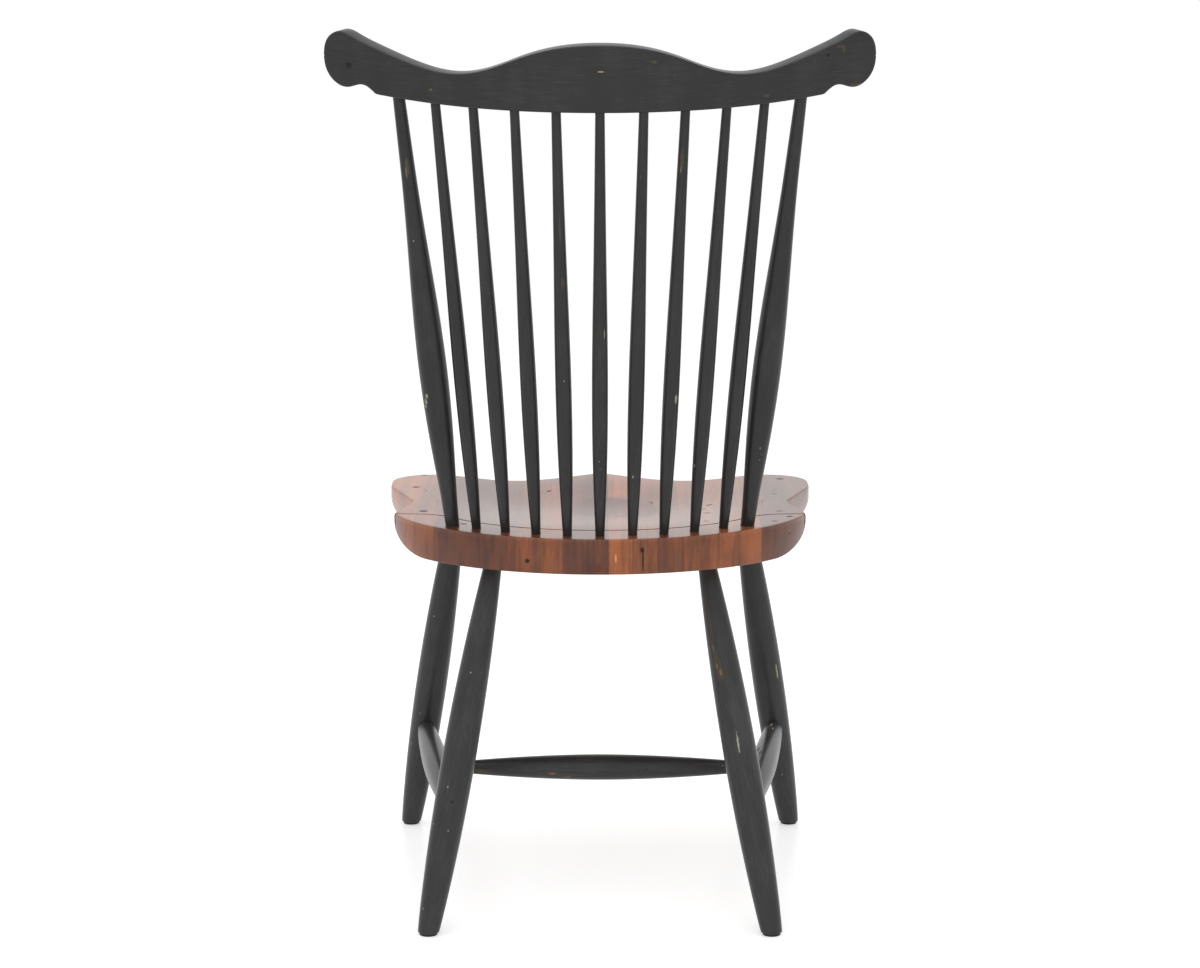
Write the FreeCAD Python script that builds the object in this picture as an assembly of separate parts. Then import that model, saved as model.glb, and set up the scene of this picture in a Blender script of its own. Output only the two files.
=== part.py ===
# Fan-back Windsor side chair: staved saddle seat, nine spindles, two posts, a bent
# crest rail, four turned legs and an H stretcher. Millimetres, +Z up, front towards -Y.
# Left and right are as seen from the front, left at -X.
import FreeCAD, Part
import math
import os

V = FreeCAD.Vector

# Seat plan, in the seat's own level frame: origin under the middle, deck at z = 0.
seat_height = 458.0
seat_tilt_deg = 0.86
seat_thickness = 41.0
front_depth = 221.0
front_corner_x = 262.0
front_corner_y = -205.0
front_corner_radius = 48.0
front_bow_radius = 1500.0
shoulder_x = 261.0
shoulder_y = -124.0
shoulder_radius = 70.0
waist_x = 225.5
waist_y = -20.0
waist_radius = 26.0
rear_depth = 215.0
rear_half_width = 253.0
rear_corner_y = 57.0
seat_rim_chamfer = 1.4

# Rounding of the seat's underside along the sides and the front.
side_wall_height = 12.0
side_round_reach = 34.0
front_wall_height = 17.0
front_round_reach = 34.0

# Saddle: two hollows either side of a pommel, and the gutter behind them.
saddle_half_width = 212.0
lobe_depth = 9.2
bowl_depth = 10.0
gutter_y = 160.0
gutter_bend_x = 188.0
gutter_bend_y = 66.0
gutter_half_width = 2.2

# Glue lines between the staves, left to right.
stave_joints_x = (-187, -159, -137, -96, -65, -37, -10, 42, 68, 96, 134, 193)

# Legs: end centres at the foot, and where their axes cross the seat's underside.
foot_height = 4.2
front_foot_x = 245.5
front_foot_y = -214.5
front_leg_x = 180.4
front_leg_y = -142.0
rear_foot_x = 196.8
rear_foot_y = 246.0
rear_leg_x = 123.5
rear_leg_y = 124.0
leg_foot_radius = 12.7
leg_belly_radius = 19.5
leg_belly_share = 0.45
leg_neck_radius = 10.4
leg_tenon_length = 27.0
leg_shoulder_drop = 6.0
foot_edge = 1.0

# Foot glides: a level pad with a stem up the leg.
glide_radius = 8.6
glide_stem_radius = 2.4
glide_stem_length = 12.0

# Stretchers.
stretcher_height = 135.6
side_stretcher_radius = 16.2
side_stretcher_end_radius = 7.4
centre_stretcher_y = 12.9
centre_stretcher_radius = 15.6
centre_stretcher_end_radius = 6.6
stretcher_swell_power = 1.6
stretcher_neck = 7.0
side_tenon_depth = 15.0
centre_tenon_depth = 11.0

# Back: feet of the spindles on the deck, and where they enter the crest.
back_rake_deg = 10.0
spindle_foot_x = (0.0, 37.2, 73.2, 108.6, 142.8)
spindle_head_x = (0.0, 47.9, 93.5, 139.1, 181.1)
deck_row_half_width = 222.0
deck_row_depth = 190.2
post_foot_x = 171.2
post_foot_y = 129.6
post_head_x = 222.1
spindle_tenon_radius = 5.3
spindle_belly_radius = 9.2
post_tenon_radius = 6.8
post_foot_radius = 8.1
post_belly_radius = 16.2
deck_tenon_depth = 24.0
crest_tenon_depth = 20.0

# Crest rail: flat outline before bending. Heights are above the middle of its lower edge,
# and the ears' insets are from their tips.
crest_thickness = 20.0
crest_bend_radius = 580.0
crest_low_centre = 490.9
crest_middle_height = 73.9
crest_dip_x = 158.5
crest_dip_height = 38.9
ear_half_width = 305.2
ear_side_height = 50.1
ear_top_inset = 18.2
ear_top_height = 75.4
ear_bottom_inset = 25.7
ear_bottom_height = 13.8
ear_notch_inset = 43.2
ear_notch_height = 18.5
ear_length = 58.7
ear_root_height = 9.3

# Fits.
glue_gap = 0.06
tip_gap = 0.5


def seat_frame(shape):
    """Moves a shape from the seat's level frame to its tilted place on the chair."""
    placed = shape.copy()
    placed.rotate(V(0, 0, 0), V(1, 0, 0), -seat_tilt_deg)
    placed.translate(V(0, 0, seat_height))
    return placed


def seat_point(x, y, below=0.0):
    """Chair position of a point on the deck, or a distance below it."""
    tilt = math.radians(seat_tilt_deg)
    up = -below
    return V(x, y * math.cos(tilt) + up * math.sin(tilt), seat_height + up * math.cos(tilt) - y * math.sin(tilt))


def crest_frame(shape):
    """Leans a shape drawn upright, deck level at z = 0, back along the rake."""
    placed = shape.copy()
    placed.rotate(V(0, 0, 0), V(1, 0, 0), -back_rake_deg)
    placed.translate(seat_point(0, deck_row_depth))
    return placed


def crest_point(x, height):
    """Chair position of a point in the middle of the crest's thickness."""
    rake = math.radians(back_rake_deg)
    radius = crest_bend_radius - crest_thickness / 2
    back = math.sqrt(radius ** 2 - x ** 2) - radius
    lean_y = back * math.cos(rake) + height * math.sin(rake)
    lean_z = height * math.cos(rake) - back * math.sin(rake)
    return seat_point(0, deck_row_depth) + V(x, lean_y, lean_z)


def mirrored(shape):
    return shape.mirror(V(0, 0, 0), V(1, 0, 0))


def spline(points, start=None, end=None):
    curve = Part.BSplineCurve()
    if start is None:
        curve.interpolate(points)
    else:
        curve.interpolate(Points=points, InitialTangent=start, FinalTangent=end)
    return curve.toShape()


def spline_spans(points):
    """One smooth curve through the points, as an edge from each point to the next."""
    curve = Part.BSplineCurve()
    curve.interpolate(points)
    stops = [curve.parameter(point) for point in points]
    return [curve.toShape(a, b) for a, b in zip(stops, stops[1:])]


def turned(runs):
    """Solid turned about Z. Each run is ("line" or "curve", [(radius, height), ...])."""
    edges = []
    first = V(runs[0][1][0][0], 0, runs[0][1][0][1])
    last = first
    for kind, stations in runs:
        points = [V(radius, 0, height) for radius, height in stations]
        if kind == "curve":
            edges += spline_spans(points)
        else:
            for a, b in zip(points, points[1:]):
                edges.append(Part.makeLine(a, b))
        last = points[-1]
    bottom = V(0, 0, first.z)
    top = V(0, 0, last.z)
    edges.append(Part.makeLine(last, top))
    edges.append(Part.makeLine(top, bottom))
    edges.append(Part.makeLine(bottom, first))
    face = Part.Face(Part.Wire(Part.__sortEdges__(edges)))
    return face.revolve(V(0, 0, 0), V(0, 0, 1), 360)


def along(solid, start, towards):
    """Puts a turned solid's origin at start with its axis pointing at towards."""
    placed = solid.copy()
    turn = FreeCAD.Rotation(V(0, 0, 1), towards.sub(start))
    placed.Placement = FreeCAD.Placement(start, turn)
    return placed


def peg(radius, low, high):
    return Part.makeCylinder(radius, high - low, V(0, 0, low))


def rounded_path(corners):
    """Lines through (x, y, radius) corners with a tangent arc at each inner corner."""
    edges = []
    pen = V(corners[0][0], corners[0][1], 0)
    for before, here, after in zip(corners, corners[1:], corners[2:]):
        corner = V(here[0], here[1], 0)
        back = (V(before[0], before[1], 0) - corner).normalize()
        ahead = (V(after[0], after[1], 0) - corner).normalize()
        half = back.getAngle(ahead) / 2
        reach = here[2] / math.tan(half)
        start = corner + back * reach
        stop = corner + ahead * reach
        middle = corner + (back + ahead).normalize() * (here[2] / math.sin(half) - here[2])
        if (start - pen).Length > 0.01:
            edges.append(Part.makeLine(pen, start))
        edges.append(Part.Arc(start, middle, stop).toShape())
        pen = stop
    edges.append(Part.makeLine(pen, V(corners[-1][0], corners[-1][1], 0)))
    return edges


def seat_outline():
    rise = math.asin(rear_corner_y / rear_depth)
    rear_corner_x = rear_half_width * math.cos(rise)
    side = rounded_path([
        (-front_corner_x, front_corner_y, 0),
        (0, -front_depth, front_bow_radius),
        (front_corner_x, front_corner_y, front_corner_radius),
        (shoulder_x, shoulder_y, shoulder_radius),
        (waist_x, waist_y, waist_radius),
        (rear_corner_x, rear_corner_y, 0),
    ])
    bow = side[1]
    right = side[2:]
    left = [mirrored(edge) for edge in right]
    ellipse = Part.Ellipse(V(0, 0, 0), rear_half_width, rear_depth)
    rear = Part.ArcOfEllipse(ellipse, rise, math.pi - rise).toShape()
    return Part.Wire(Part.__sortEdges__([bow] + right + left + [rear]))


def under_round(wall, reach):
    """Section, in XZ, of what is planed off under an edge that stands at x = 0."""
    drop = seat_thickness - wall
    deep = seat_thickness + 20
    if reach > drop:
        ellipse = Part.Ellipse(V(0, 0, 0), reach, drop)
        arc = Part.ArcOfEllipse(ellipse, -math.pi / 2, 0).toShape()
    else:
        ellipse = Part.Ellipse(V(0, 0, 0), drop, reach)
        arc = Part.ArcOfEllipse(ellipse, -math.pi, -math.pi / 2).toShape()
        arc.rotate(V(0, 0, 0), V(0, 0, 1), 90)
    arc.rotate(V(0, 0, 0), V(1, 0, 0), 90)
    arc.translate(V(-reach, 0, -wall))
    outside = Part.makePolygon([
        V(0, 0, -wall),
        V(60, 0, -wall),
        V(60, 0, -deep),
        V(-reach, 0, -deep),
        V(-reach, 0, -seat_thickness),
    ])
    return Part.Face(Part.Wire(Part.__sortEdges__([arc] + outside.Edges)))


def side_plane():
    """Everything outside the rounded flank on the right, along the line of the side."""
    rise = math.asin(rear_corner_y / rear_depth)
    rear_corner_x = rear_half_width * math.cos(rise)
    turn = math.degrees(math.atan2(shoulder_x - rear_corner_x, rear_corner_y - shoulder_y))
    planed = under_round(side_wall_height, side_round_reach).extrude(V(0, 700, 0))
    planed.translate(V(0, -350, 0))
    planed.rotate(V(0, 0, 0), V(0, 0, 1), turn)
    planed.translate(V(rear_corner_x, rear_corner_y, 0))
    return planed


def front_plane():
    planed = under_round(front_wall_height, front_round_reach).extrude(V(0, 700, 0))
    planed.translate(V(0, -350, 0))
    planed.rotate(V(0, 0, 0), V(0, 0, 1), -90)
    planed.translate(V(0, -front_depth, 0))
    return planed


def saddle_depth(x, y):
    across = min(abs(x) / saddle_half_width, 1.0)
    back = (y + front_depth) / (gutter_y + front_depth)
    back = max(0.0, min(back, 1.0))
    lobes = lobe_depth * math.sin(math.pi * across) ** 1.2 * (1 - across ** 6) * (1 - back ** 2) ** 2
    bowl = bowl_depth * (1 - across ** 2) ** 1.5 * math.sin(math.pi * back) ** 2
    return lobes + bowl


def above_saddle():
    """Solid that stands on the saddle surface; its underside is the sat-on shape."""
    step_x = saddle_half_width / 8
    step_y = (gutter_y + front_depth) / 10
    rows = []
    for j in range(-1, 12):
        y = -front_depth + j * step_y
        rows.append([V(i * step_x, y, -saddle_depth(i * step_x, y)) for i in range(-11, 12)])
    surface = Part.BSplineSurface()
    surface.interpolate(rows)
    return surface.toShape().extrude(V(0, 0, 60))


def gutter_line():
    """Line that parts the sat-on front from the spindle deck, in plan."""
    rise = math.asin(rear_corner_y / rear_depth)
    rim_x = rear_half_width * math.cos(rise)
    half = [
        V(0, gutter_y, 0),
        V(0.32 * gutter_bend_x, gutter_y - 0.075 * (gutter_y - gutter_bend_y), 0),
        V(0.70 * gutter_bend_x, gutter_y - 0.46 * (gutter_y - gutter_bend_y), 0),
        V(0.88 * gutter_bend_x, gutter_y - 0.79 * (gutter_y - gutter_bend_y), 0),
        V(gutter_bend_x, gutter_bend_y, 0),
        V((gutter_bend_x + rim_x) / 2, rear_corner_y + 3.5, 0),
        V(rim_x + 20, rear_corner_y - 2, 0),
    ]
    left = [V(-p.x, p.y, 0) for p in half[:0:-1]]
    return spline(left + half)


def rim_edges(solid, outline):
    """Upper edges of a piece of the seat that lie on the seat's outline."""
    found = []
    for edge in solid.Edges:
        middle = edge.valueAt((edge.FirstParameter + edge.LastParameter) / 2)
        on_outline = outline.distToShape(Part.Vertex(V(middle.x, middle.y, 0)))[0] < 0.05
        if on_outline and middle.z > -side_wall_height and edge.BoundBox.ZLength < seat_thickness / 2:
            found.append(edge)
    return found


def seat_blank():
    blank = Part.Face(seat_outline()).extrude(V(0, 0, seat_thickness + 6))
    blank.translate(V(0, 0, -seat_thickness))
    line = gutter_line()
    ends = [line.valueAt(line.FirstParameter), line.valueAt(line.LastParameter)]
    frame = Part.makePolygon([ends[1], V(ends[1].x, 400, 0), V(ends[0].x, 400, 0), ends[0]])
    behind = Part.Face(Part.Wire(Part.__sortEdges__([line] + frame.Edges))).extrude(V(0, 0, 120))
    behind.translate(V(0, 0, -80))
    above_deck = Part.makeBox(700, 700, 60, V(-350, -350, 0))
    front = blank.cut(behind).cut(above_saddle()).Solids[0]
    deck = blank.common(behind).cut(above_deck).Solids[0]
    outline = seat_outline()
    front = front.makeChamfer(seat_rim_chamfer, rim_edges(front, outline))
    deck = deck.makeChamfer(seat_rim_chamfer, rim_edges(deck, outline))
    seat = front.fuse(deck)
    tangent = line.tangentAt(line.FirstParameter)
    across = tangent.cross(V(0, 0, 1)) * gutter_half_width
    up = V(0, 0, gutter_half_width)
    bit = Part.makePolygon([ends[0] + across, ends[0] + up, ends[0] - across, ends[0] - up, ends[0] + across])
    groove = Part.Wire(line).makePipeShell([bit], True, False)
    planes = [side_plane(), mirrored(side_plane()), front_plane()]
    return seat_frame(seat.cut(planes).cut(groove))


def leg_ends(front):
    if front:
        foot = V(front_foot_x, front_foot_y, foot_height)
        neck = seat_point(front_leg_x, front_leg_y, seat_thickness)
    else:
        foot = V(rear_foot_x, rear_foot_y, foot_height)
        neck = seat_point(rear_leg_x, rear_leg_y, seat_thickness)
    return foot, neck


def leg_radius(share):
    """Double taper: a parabola either side of the belly."""
    if share < leg_belly_share:
        bend = 1 - (1 - share / leg_belly_share) ** 2
        return leg_foot_radius + (leg_belly_radius - leg_foot_radius) * bend
    bend = 1 - ((share - leg_belly_share) / (1 - leg_belly_share)) ** 2
    return leg_neck_radius + (leg_belly_radius - leg_neck_radius) * bend


def leg_tenon(length, gap, tip):
    """Tenon run, from just under the seat to its blind end in the seat."""
    low = length - leg_shoulder_drop
    return ("line", [(leg_neck_radius + gap, low), (leg_neck_radius + gap, length + leg_tenon_length + tip)])


def leg(front):
    foot, neck = leg_ends(front)
    length = (neck - foot).Length
    bevel = [(leg_foot_radius - foot_edge, 0), (leg_foot_radius, foot_edge)]
    shares = [0.2, leg_belly_share, 0.7, 1]
    body = [bevel[1]] + [(leg_radius(share), share * (length - leg_shoulder_drop)) for share in shares]
    solid = turned([("line", bevel), ("curve", body), leg_tenon(length, 0, 0)])
    stem_hole = peg(glide_stem_radius + glue_gap, -1, glide_stem_length + tip_gap)
    return along(solid.cut(stem_hole), foot, neck)


def leg_socket(front):
    foot, neck = leg_ends(front)
    return along(turned([leg_tenon((neck - foot).Length, glue_gap, tip_gap)]), foot, neck)


def glide(front):
    """Pad with a level sole, its top cut to the slope of the leg's end."""
    foot, neck = leg_ends(front)
    pad = Part.makeCylinder(glide_radius, 3 * foot_height, V(foot.x, foot.y, 0))
    leg_space = along(Part.makeCylinder(60, 60), foot, neck)
    stem = along(Part.makeCylinder(glide_stem_radius, glide_stem_length + 1, V(0, 0, -1)), foot, neck)
    return pad.cut(leg_space).fuse(stem).removeSplitter()


def on_leg(front, height):
    """Point on a leg's axis at a height, and the leg's radius there."""
    foot, neck = leg_ends(front)
    share = (height - foot.z) / (neck.z - foot.z)
    return foot + (neck - foot) * share, leg_radius(share)


def stretcher(length, bury, depth, belly, end):
    """Cigar-shaped rail between two axes; bury is the radius of what it enters."""
    half = length / 2
    neck = half - bury - stretcher_neck
    tip = half - bury + depth
    shares = [-1, -0.6, 0, 0.6, 1]
    body = []
    for share in shares:
        radius = belly - (belly - end) * abs(share) ** stretcher_swell_power
        body.append((radius, half + share * neck))
    low = half - tip
    high = half + tip
    return turned([
        ("line", [(end, low), (end, half - neck)]),
        ("curve", body),
        ("line", [(end, half + neck), (end, high)]),
    ])


def stretcher_socket(length, bury, depth, end):
    half = length / 2
    neck = half - bury - stretcher_neck
    tip = half - bury + depth + tip_gap
    low = peg(end + glue_gap, half - tip, half - neck)
    high = peg(end + glue_gap, half + neck, half + tip)
    return low.fuse(high)


def side_line():
    front_point, front_radius = on_leg(True, stretcher_height)
    rear_point, rear_radius = on_leg(False, stretcher_height)
    return front_point, rear_point, front_radius


def centre_line():
    front_point, rear_point, leg_side = side_line()
    share = (centre_stretcher_y - front_point.y) / (rear_point.y - front_point.y)
    meet = front_point + (rear_point - front_point) * share
    length = (rear_point - front_point).Length
    neck = length / 2 - leg_side - stretcher_neck
    away = abs(share - 0.5) * length / neck
    swell = (side_stretcher_radius - side_stretcher_end_radius) * away ** stretcher_swell_power
    return V(-meet.x, meet.y, meet.z), meet, side_stretcher_radius - swell


def back_lines():
    """Name, foot, head, profile of each upright of the back, left to right."""
    lines = []
    for x, head in zip(spindle_foot_x, spindle_head_x):
        y = deck_row_depth * math.sqrt(1 - (x / deck_row_half_width) ** 2)
        for side in ((-1, 1) if x else (1,)):
            lines.append([side * x, seat_point(side * x, y), crest_middle(side * head), False])
    for side in (-1, 1):
        foot = seat_point(side * post_foot_x, post_foot_y)
        lines.append([side * post_foot_x, foot, crest_middle(side * post_head_x), True])
    return sorted(lines, key=lambda line: line[0])


def crest_low_edge(x):
    """Height of the crest's lower edge above the deck, along the rake."""
    return crest_low_centre + ear_root_height * abs(x / (ear_half_width - ear_length)) ** 2.6


def crest_middle(x):
    return crest_point(x, crest_low_edge(x) + crest_tenon_depth / 2)


def upright_tenons(length, stout, gap, tip):
    """Lower and upper tenon runs of a spindle or post, heights from the deck."""
    low = post_foot_radius if stout else spindle_tenon_radius + 0.1
    high = post_tenon_radius if stout else spindle_tenon_radius
    end = length + crest_tenon_depth / 2 + tip
    neck = length - crest_tenon_depth / 2 - 5
    lower = ("line", [(low + gap, -deck_tenon_depth - tip), (low + gap, 4)])
    upper = ("line", [(high + gap, neck), (high + gap, end)])
    return lower, upper


def upright(foot, head, stout):
    length = (head - foot).Length
    lower, upper = upright_tenons(length, stout, 0, 0)
    start = lower[1][1]
    stop = upper[1][0]
    if stout:
        belly = post_belly_radius
        swell = [(0.13, 0.42), (0.255, 0.86), (0.39, 1), (0.55, 0.725), (0.79, 0.165)]
    else:
        belly = spindle_belly_radius
        swell = [(0.18, 0.79), (0.36, 1), (0.66, 0.47)]
    body = [start]
    for share, full in swell:
        slim = start[0] + (stop[0] - start[0]) * share
        body.append((slim + (belly - slim) * full, share * length))
    body.append(stop)
    return along(turned([lower, ("curve", body), upper]), foot, head)


def upright_sockets(foot, head, stout):
    length = (head - foot).Length
    lower, upper = upright_tenons(length, stout, glue_gap, tip_gap)
    return along(turned([lower]), foot, head), along(turned([upper]), foot, head)


def crest_outline():
    """Flat outline of the crest in XZ, as sawn before bending."""
    rise = crest_middle_height - crest_dip_height
    climb = ear_top_height - crest_dip_height
    fall = ear_side_height - ear_bottom_height
    reach = ear_half_width - ear_top_inset - crest_dip_x
    root_x = ear_half_width - ear_length
    right_half = [
        (0, crest_middle_height),
        (0.31 * crest_dip_x, crest_dip_height + 0.88 * rise),
        (0.54 * crest_dip_x, crest_dip_height + 0.59 * rise),
        (0.77 * crest_dip_x, crest_dip_height + 0.19 * rise),
        (crest_dip_x, crest_dip_height),
        (crest_dip_x + 0.43 * reach, crest_dip_height + 0.29 * climb),
        (crest_dip_x + 0.72 * reach, crest_dip_height + 0.65 * climb),
        (crest_dip_x + 0.87 * reach, crest_dip_height + 0.86 * climb),
        (ear_half_width - ear_top_inset, ear_top_height),
        (ear_half_width - 0.3 * ear_top_inset, ear_top_height - 0.31 * (ear_top_height - ear_side_height)),
        (ear_half_width, ear_side_height),
        (ear_half_width - 0.26 * ear_bottom_inset, ear_bottom_height + 0.27 * fall),
        (ear_half_width - ear_bottom_inset, ear_bottom_height),
        (ear_half_width - ear_notch_inset, ear_notch_height),
        (root_x, ear_root_height),
    ]
    right = spline([V(x, 0, crest_low_centre + height) for x, height in right_half], V(1, 0, 0), V(-1, 0, -0.6))
    lower = spline([V(x * root_x, 0, crest_low_edge(x * root_x)) for x in (-1, -0.6, 0, 0.6, 1)])
    return Part.Wire(Part.__sortEdges__([right, mirrored(right), lower]))


def crest_rail():
    """Outline wrapped on the bend, then thickened square to the bent face."""
    reach = crest_bend_radius + crest_thickness
    prism = Part.Face(crest_outline()).extrude(V(0, reach, 0))
    prism.translate(V(0, crest_thickness - reach, 0))
    margin = ear_top_height
    centre = V(0, crest_thickness / 2 - crest_bend_radius, crest_low_centre - margin)
    drum = Part.makeCylinder(crest_bend_radius, 3 * margin, centre, V(0, 0, 1), 360)
    bark = [face for face in drum.Faces if face.Surface.TypeId == "Part::GeomCylinder"][0]
    back_face = bark.common(prism).Faces[0]
    rail = back_face.makeOffsetShape(-crest_thickness, 0.01, fill=True)
    return crest_frame(Part.Solid(rail.Shells[0]))


def staves(seat):
    """Cuts the seat at the glue lines; each piece is one stave."""
    bounds = (-400,) + stave_joints_x + (400,)
    pieces = []
    for left, right in zip(bounds, bounds[1:]):
        slab = Part.makeBox(right - left, 800, 400, V(left, -400, seat_height - 200))
        pieces.append(seat.common(slab).Solids[0])
    return pieces


def build():
    parts = {}
    uprights = back_lines()
    rail_sockets = []
    seat_sockets = []
    number = 0
    for x, foot, head, stout in uprights:
        if stout:
            name = "back_post_left" if x < 0 else "back_post_right"
        else:
            number += 1
            name = "spindle_%d" % number
        parts[name] = upright(foot, head, stout)
        low, high = upright_sockets(foot, head, stout)
        seat_sockets.append(low)
        rail_sockets.append(high)
    parts["crest_rail"] = crest_rail().cut(rail_sockets)

    front_point, rear_point, leg_side = side_line()
    side_length = (rear_point - front_point).Length
    left_meet, right_meet, rail_side = centre_line()
    centre_length = (right_meet - left_meet).Length
    side_rail = stretcher(side_length, leg_side, side_tenon_depth, side_stretcher_radius, side_stretcher_end_radius)
    side_rail = along(side_rail, front_point, rear_point)
    side_holes = stretcher_socket(side_length, leg_side, side_tenon_depth, side_stretcher_end_radius)
    side_holes = along(side_holes, front_point, rear_point)
    centre_rail = stretcher(
        centre_length, rail_side, centre_tenon_depth, centre_stretcher_radius, centre_stretcher_end_radius
    )
    centre_holes = stretcher_socket(centre_length, rail_side, centre_tenon_depth, centre_stretcher_end_radius)
    centre_holes = along(centre_holes, left_meet, right_meet)
    parts["centre_stretcher"] = along(centre_rail, left_meet, right_meet)
    side_rail = side_rail.cut(centre_holes)
    parts["side_stretcher_right"] = side_rail
    parts["side_stretcher_left"] = mirrored(side_rail)

    for front, place in ((True, "front"), (False, "rear")):
        one_leg = leg(front).cut(side_holes)
        pad = glide(front)
        socket = leg_socket(front)
        parts["%s_leg_right" % place] = one_leg
        parts["%s_leg_left" % place] = mirrored(one_leg)
        parts["foot_glide_%s_right" % place] = pad
        parts["foot_glide_%s_left" % place] = mirrored(pad)
        seat_sockets += [socket, mirrored(socket)]

    seat = seat_blank().cut(seat_sockets)
    for index, piece in enumerate(staves(seat)):
        parts["seat_stave_%d" % (index + 1)] = piece
    return parts


def centre_on_footprint(parts):
    """Puts the origin on the floor under the middle of the chair's box."""
    box = FreeCAD.BoundBox()
    for shape in parts.values():
        box.add(shape.optimalBoundingBox(True, False))
    shift = V(-(box.XMin + box.XMax) / 2, -(box.YMin + box.YMax) / 2, -box.ZMin)
    for shape in parts.values():
        shape.translate(shift)
    print("moved by", shift, "size", box.XLength, box.YLength, box.ZLength)


def main():
    os.makedirs("parts", exist_ok=True)
    parts = build()
    centre_on_footprint(parts)
    for name in sorted(parts):
        shape = parts[name]
        print(name, shape.ShapeType, len(shape.Solids), shape.isValid(), round(shape.Volume))
        if shape.ShapeType != "Solid":
            shape = shape.Solids[0]
        shape.exportStep("parts/%s.step" % name)


main()
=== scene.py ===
# Fan-back side chair: charcoal painted frame, rubbed here and there, under a stained seat of glued staves.
import bpy
import bmesh
import math
import numpy as np
from mathutils import Matrix, Vector


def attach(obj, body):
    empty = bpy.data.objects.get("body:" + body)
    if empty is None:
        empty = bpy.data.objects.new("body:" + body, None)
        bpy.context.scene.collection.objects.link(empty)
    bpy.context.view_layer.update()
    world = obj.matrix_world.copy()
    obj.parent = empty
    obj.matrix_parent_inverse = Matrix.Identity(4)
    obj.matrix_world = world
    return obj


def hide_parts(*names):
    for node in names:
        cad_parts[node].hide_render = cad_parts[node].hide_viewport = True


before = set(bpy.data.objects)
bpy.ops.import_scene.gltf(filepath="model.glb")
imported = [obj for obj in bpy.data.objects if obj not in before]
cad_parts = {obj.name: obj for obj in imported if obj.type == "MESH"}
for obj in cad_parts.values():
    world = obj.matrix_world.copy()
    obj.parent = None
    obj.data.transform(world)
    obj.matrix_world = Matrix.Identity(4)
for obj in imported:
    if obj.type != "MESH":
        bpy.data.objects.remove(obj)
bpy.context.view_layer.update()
mm = 0.001
print("frame loaded,", len(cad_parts), "nodes")


# Materials: a socket that can be added, multiplied and mixed as if it were a number.
class Shade:
    def __init__(self, tree, socket=None):
        self.tree = tree
        self.socket = socket

    def node(self, kind, settings=None, sockets=None, out=0):
        made = self.tree.nodes.new(kind)
        for key, value in (settings or {}).items():
            setattr(made, key, value)
        for key, value in (sockets or {}).items():
            if isinstance(value, Shade):
                self.tree.links.new(value.socket, made.inputs[key])
            else:
                made.inputs[key].default_value = value
        return Shade(self.tree, made.outputs[out])

    def at(self, out):  # another output of the same node
        return Shade(self.tree, self.socket.node.outputs[out])

    def maths(self, operation, *values):
        return self.node("ShaderNodeMath", {"operation": operation}, dict(enumerate(values)))

    def __add__(self, other):
        return self.maths("ADD", self, other)

    def __sub__(self, other):
        return self.maths("SUBTRACT", self, other)

    def __rsub__(self, other):
        return self.maths("SUBTRACT", other, self)

    def __mul__(self, other):
        return self.maths("MULTIPLY", self, other)

    __radd__ = __add__
    __rmul__ = __mul__

    def clamp(self):
        return self.node("ShaderNodeClamp", None, {"Value": self})

    def between(self, low, high):  # 0 below low, 1 above high, smooth between
        settings = {"interpolation_type": "SMOOTHSTEP"}
        return self.node("ShaderNodeMapRange", settings, {"Value": self, "From Min": low, "From Max": high})

    def choose(self, low, high):  # this mask picks between two colours
        return self.node("ShaderNodeMix", {"data_type": "RGBA"}, {0: self, 6: low, 7: high}, 2)

    def vector(self, operation, other, out=0):
        return self.node("ShaderNodeVectorMath", {"operation": operation}, {0: self, 1: other}, out)

    def noise(self, scale, detail=2.0, roughness=0.5, stretch=(1, 1, 1), shift=(0, 0, 0)):
        place = self.node("ShaderNodeMapping", None, {"Vector": self, "Location": shift, "Scale": stretch})
        sockets = {"Vector": place, "Scale": scale, "Detail": detail, "Roughness": roughness}
        return self.node("ShaderNodeTexNoise", None, sockets)


def newMaterial(name, fixed):
    # the material, its shader with some sockets set for good, and a start for its other nodes
    material = bpy.data.materials.new(name)
    material.use_nodes = True
    shader = material.node_tree.nodes["Principled BSDF"]
    for key, value in fixed.items():
        shader.inputs[key].default_value = value
    return material, shader, Shade(material.node_tree)


def feed(material, shader, sockets):
    for key, value in sockets.items():
        material.node_tree.links.new(value.socket, shader.inputs[key])


def scaled(values, factor):
    return [value * factor for value in values]


def tinted(colour, factor):
    return scaled(colour[:3], factor) + [1]


def patch(place, centre, size, raggedness):
    # 1 inside an uneven patch of that centre and half size, 0 outside
    offset = place.vector("SUBTRACT", centre).vector("DIVIDE", size)
    reach = offset.vector("LENGTH", (0, 0, 0), 1)
    return 1 - (reach + raggedness).between(0.75, 1.1)


def quarterRound(radius):
    # how far in and how far down the points of a rounded edge lie, from the face to the side
    angles = [math.radians(22.5 * step) for step in range(5)]
    inwards = [radius * (1 - math.cos(angle)) for angle in angles]
    downwards = [radius * (1 - math.sin(angle)) for angle in angles]
    return inwards, downwards


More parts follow.
